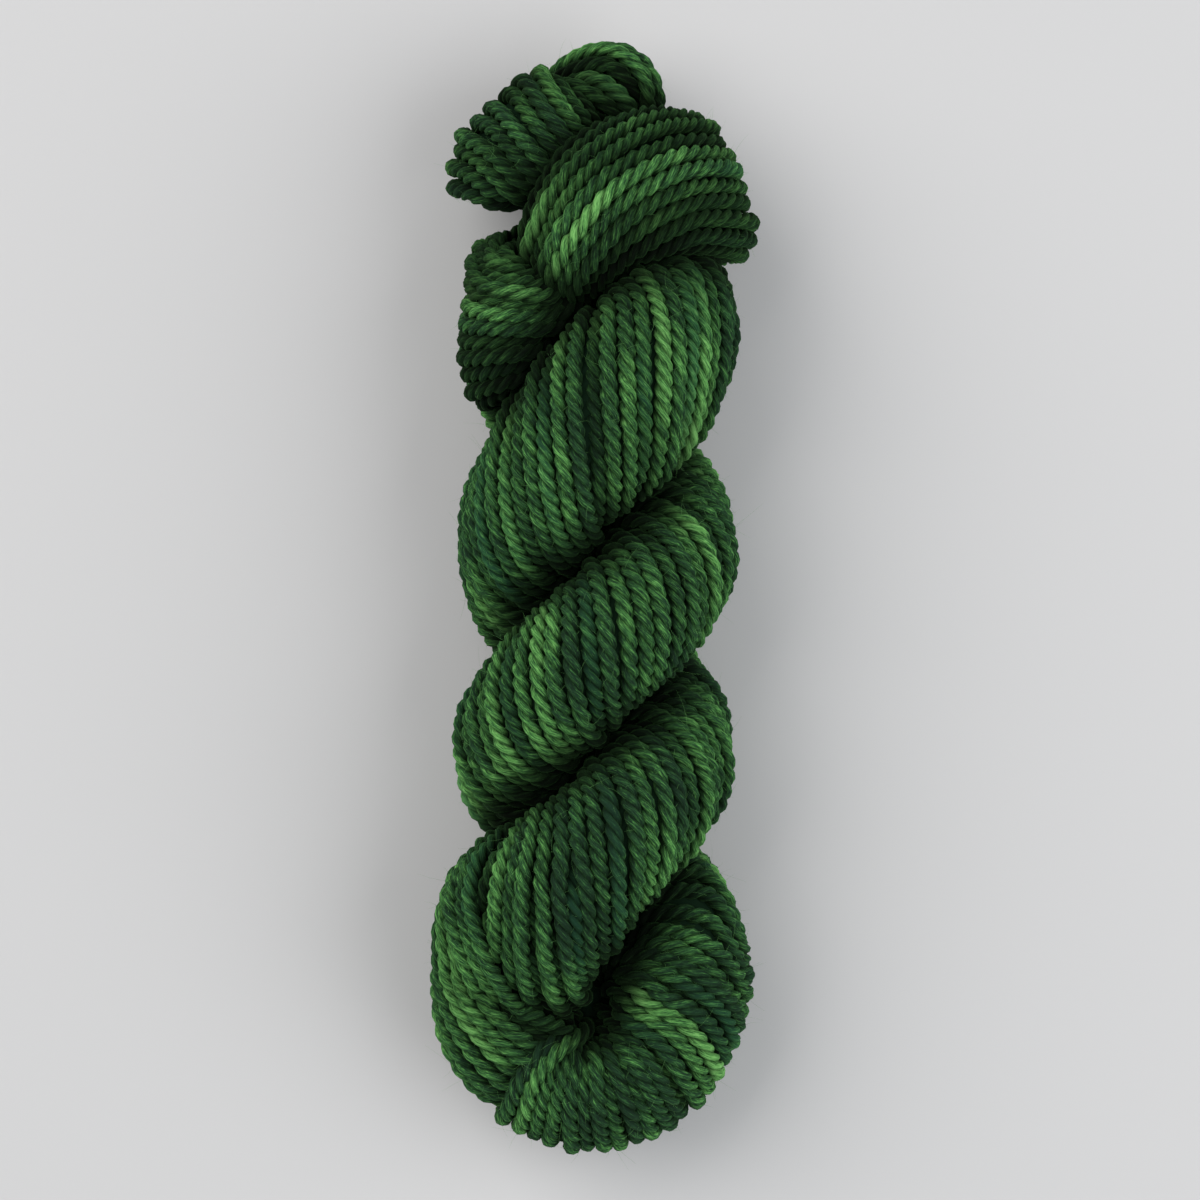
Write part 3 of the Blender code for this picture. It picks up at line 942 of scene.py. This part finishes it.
def dyed_wool():
    """Matte wool: a dye that runs from deep forest green to leaf green.

    It is patchy over the skein and along each turn, leans to teal in some turns, and is
    streaked along the fibres; its pools over the skein are partly painted light and shade.
    The streaks also raise it. It is darker in the grooves, between the turns and where other
    yarn covers it, by the painted shade that the yarn's points note.
    """
    material = bpy.data.materials.new("dyed_wool")
    material.use_nodes = True
    nodes = material.node_tree.nodes
    links = material.node_tree.links
    shader = nodes["Principled BSDF"]
    shader.inputs["Roughness"].default_value = 0.9
    shader.inputs["Sheen Weight"].default_value = 0.10
    shader.inputs["Sheen Roughness"].default_value = 0.5
    shader.inputs["Sheen Tint"].default_value = (0.25, 0.7, 0.2, 1.0)
    shader.inputs["Specular IOR Level"].default_value = 0.06

    def attribute(name):
        """A node that reads what the yarn's points note under a name."""
        node = nodes.new("ShaderNodeAttribute")
        node.attribute_name = name
        return node

    def maths(operation, *values):
        """A Math node fed with numbers and other nodes' outputs."""
        node = nodes.new("ShaderNodeMath")
        node.operation = operation
        for socket, value in zip(node.inputs, values):
            if isinstance(value, (int, float)):
                socket.default_value = value
            else:
                links.new(value, socket)
        return node.outputs["Value"]

    def noise(vector, scale, detail):
        """Noise on a vector that is scaled first, by a number for each direction."""
        stretch = nodes.new("ShaderNodeMapping")
        stretch.inputs["Scale"].default_value = scale
        links.new(vector, stretch.inputs["Vector"])
        node = nodes.new("ShaderNodeTexNoise")
        node.inputs["Scale"].default_value = 1.0
        node.inputs["Detail"].default_value = detail
        node.inputs["Roughness"].default_value = 0.6
        links.new(stretch.outputs["Vector"], node.inputs["Vector"])
        return node.outputs["Fac"]

    fibre = attribute("fibre").outputs["Vector"]
    streaks = noise(fibre, (4.5, 4.5, 0.36), 3.0)
    threads = noise(fibre, (11.0, 11.0, 0.8), 3.0)
    place = nodes.new("ShaderNodeTexCoord").outputs["Object"]
    patches = noise(place, (45.0, 38.0, 45.0), 2.0)

    shade = maths("MULTIPLY_ADD", streaks, 1.2, -1.512)
    shade = maths("MULTIPLY_ADD", threads, 2.0, shade)
    shade = maths("MULTIPLY_ADD", patches, 0.72, shade)
    shade = maths("MULTIPLY_ADD", attribute("dye").outputs["Fac"], 0.8, shade)
    dye = nodes.new("ShaderNodeValToRGB")
    ramp = dye.color_ramp
    ramp.elements[0].position = 0.0
    ramp.elements[0].color = (0.009, 0.023, 0.013, 1.0)
    ramp.elements[1].position = 1.0
    ramp.elements[1].color = (0.190, 0.450, 0.130, 1.0)
    for position, colour in (
        (0.24, (0.014, 0.042, 0.019, 1.0)),
        (0.40, (0.025, 0.081, 0.027, 1.0)),
        (0.58, (0.050, 0.162, 0.042, 1.0)),
        (0.80, (0.115, 0.325, 0.078, 1.0)),
    ):
        ramp.elements.new(position).color = colour
    links.new(shade, dye.inputs["Fac"])

    tint = nodes.new("ShaderNodeMix")
    tint.data_type = "RGBA"
    tint.inputs["B"].default_value = (0.014, 0.078, 0.042, 1.0)
    teal = nodes.new("ShaderNodeClamp")
    teal.inputs["Max"].default_value = 0.5
    bluer = maths("MULTIPLY_ADD", attribute("hue").outputs["Fac"], 0.6, -0.2)
    links.new(bluer, teal.inputs["Value"])
    links.new(teal.outputs["Result"], tint.inputs["Factor"])
    links.new(dye.outputs["Color"], tint.inputs["A"])

    # Painted shade: the shade on the yarn's points, from its ply grooves, the sides of each turn
    # and the yarn that covers it, is multiplied into the colour here.
    darken = nodes.new("ShaderNodeMix")
    darken.data_type = "RGBA"
    darken.blend_type = "MULTIPLY"
    darken.inputs["Factor"].default_value = 1.0
    links.new(tint.outputs["Result"], darken.inputs["A"])
    links.new(attribute("shade").outputs["Fac"], darken.inputs["B"])
    links.new(darken.outputs["Result"], shader.inputs["Base Color"])

    bump = nodes.new("ShaderNodeBump")
    bump.inputs["Strength"].default_value = 0.7
    bump.inputs["Distance"].default_value = 0.0006
    links.new(maths("MULTIPLY_ADD", threads, 0.5, streaks), bump.inputs["Height"])
    links.new(bump.outputs["Normal"], shader.inputs["Normal"])
    return material


wool = dyed_wool()
spinner = np.random.default_rng(11)
all_spun = []
for group, turns in groups.items():
    first = len(all_spun)
    own = settled[first : first + len(turns)]
    spun = [spin(spinner, turn, group == "ring") for turn in own]
    all_spun += spun
    filled = np.cumsum([len(turn["quads"]) for turn in spun]) // MOST_QUADS
    for part in range(filled[-1] + 1):
        name = f"{group}_yarn_{part + 1}"
        mesh = yarn_mesh(name, [turn for turn, at in zip(spun, filled) if at == part])
        piece = new_piece(name, mesh, wool)
        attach(piece, "root")
        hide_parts("skein")

# ---------------------------------------------------------------------------------------
# The fuzz: loose fibres of the wool that stand out of the yarn, fine, short and curled.
# ---------------------------------------------------------------------------------------
HAIR_THICKNESS = 0.05
HAIR_SHORTEST = 0.8
HAIR_LONGER_BY = 1.2
HAIR_LONGEST = 6.0
HAIR_SIDES = 3
HAIR_RINGS = 4
FUZZ_PARTS = 2


def hair_mesh(name, rng, roots, normals, forward):
    """Grow a hair from each root: a three-sided spike that leans, and bends as it goes.

    A hair leans by chance, mostly along the yarn, and its bend grows with the square of the
    way along it. Its thickness falls to a third at the tip.
    """
    count = len(roots)
    across = np.cross(forward, normals)
    way = forward * rng.normal(0.0, 1.0, (count, 1)) + across * rng.normal(0.0, 0.7, (count, 1))
    way = unit(way + normals * (0.15 + np.abs(rng.normal(0.0, 0.35, (count, 1)))))
    length = HAIR_SHORTEST + rng.exponential(HAIR_LONGER_BY, (count, 1))
    length = np.minimum(length, HAIR_LONGEST)
    bend = rng.normal(0.0, 0.30, (count, 3)) * length
    first = unit(np.cross(way, rng.normal(0.0, 1.0, (count, 3))))
    second = np.cross(way, first)
    t = np.linspace(0.0, 1.0, HAIR_RINGS)[None, :, None]
    line = (roots - 0.1 * normals)[:, None] + (way * length)[:, None] * t + bend[:, None] * t**2
    angle = (np.arange(HAIR_SIDES) * 2 * math.pi / HAIR_SIDES)[None, None, :, None]
    spokes = np.cos(angle) * first[:, None, None] + np.sin(angle) * second[:, None, None]
    thickness = (HAIR_THICKNESS / 2 * (1.0 - 0.67 * t))[..., None]
    points = line[:, :, None] + spokes * thickness
    points[..., 2] = np.maximum(points[..., 2], HAIR_THICKNESS)
    starts = np.arange(count)[:, None, None] * HAIR_SIDES * HAIR_RINGS
    quads = (tube_quads(HAIR_RINGS, HAIR_SIDES, False)[None] + starts).reshape(-1, 4)
    corners = np.arange(HAIR_SIDES)
    ends = np.array([corners[::-1], corners + HAIR_SIDES * (HAIR_RINGS - 1)])
    ends = (ends[None] + starts).reshape(-1, HAIR_SIDES)
    mesh = bpy.data.meshes.new(name)
    mesh.from_pydata(points.reshape(-1, 3) * MM, [], quads.tolist() + ends.tolist())
    return mesh


grower = np.random.default_rng(5)
fuzz_wool = plain_material("fuzz_wool", (0.13, 0.31, 0.10, 1.0), 1.0)
for part in range(FUZZ_PARTS):
    grown = [
        np.vstack([turn[key] for turn in all_spun[part::FUZZ_PARTS]])
        for key in ("roots", "normals", "forward")
    ]
    name = f"fuzz_{part + 1}"
    piece = new_piece(name, hair_mesh(name, grower, *grown), fuzz_wool)
    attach(piece, "root")

# ---------------------------------------------------------------------------------------
# The heart of the skein: the deeper turns of its bundles, under the outer ones. They are
# seen only as darkness between those, so each bundle of them is one plain core in painted
# shade. A plug in the same painted shade fills the hole of the fold.
# ---------------------------------------------------------------------------------------
HEART_INSET = 3.4
HEART_SIDES = 24
# The plug that fills the hole of the fold, a dark thing in the same painted shade.
HOLE_SECTIONS = (
    (-0.5, -91.0, -16.0, 16.0, 20.0, 0.0, 0.0),
    (-0.5, -91.0, -6.0, 18.0, 24.0, 0.0, 0.0),
    (-0.5, -91.0, 2.0, 15.0, 18.0, 0.0, 0.0),
)


def heart_mesh(name, frame_parts, closed, at_hole):
    """Skin a row of ellipses, drawn in by HEART_INSET, with quads and capped ends.

    A point is centre + a cos(angle) first_way + b sin(angle) second_way, where a and b are
    the section's half sizes less the inset.
    """
    centre, first_way, second_way, first_radius, second_radius = frame_parts[:5]
    angle = np.linspace(0.0, 2 * math.pi, HEART_SIDES, endpoint=False)[None, :, None]
    first = first_way * np.maximum(first_radius - HEART_INSET, 1.0)[:, None]
    second = second_way * np.maximum(second_radius - HEART_INSET, 1.0)[:, None]
    rings = centre[:, None, :] + np.cos(angle) * first[:, None, :]
    rings = rings + np.sin(angle) * second[:, None, :]
    if at_hole:
        rings = drop_hole(rings)
    rings = lay_down(rings) + shift
    faces = tube_quads(len(rings), HEART_SIDES, closed).tolist()
    if not closed:
        ring = np.arange(HEART_SIDES)
        last = (len(rings) - 1) * HEART_SIDES
        faces += [ring[::-1].tolist(), (ring + last).tolist()]
    mesh = bpy.data.meshes.new(name)
    mesh.from_pydata(rings.reshape(-1, 3) * MM, [], faces)
    return mesh


# The hearts' colour is painted shade: the deeper turns are the same green wool, shown as dark as
# they lie in shadow.
heart_painted_shade = plain_material("heart_painted_shade", (0.007, 0.018, 0.009, 1.0), 1.0)
for name, parts, closed, at_hole in (
    ("bundle_heart", bundle_frame(3.0), False, True),
    ("hole_heart", lobe_frame(HOLE_SECTIONS, False, 2.0), False, False),
    ("ring_heart", lobe_frame(RING_SECTIONS, True, 3.0), True, False),
    ("knob_heart", lobe_frame(KNOB_SECTIONS, False, 3.0), False, False),
    ("arch_heart", lobe_frame(ARCH_SECTIONS, False, 3.0), False, False),
):
    piece = new_piece(name, heart_mesh(name, parts, closed, at_hole), heart_painted_shade)
    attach(piece, "root")
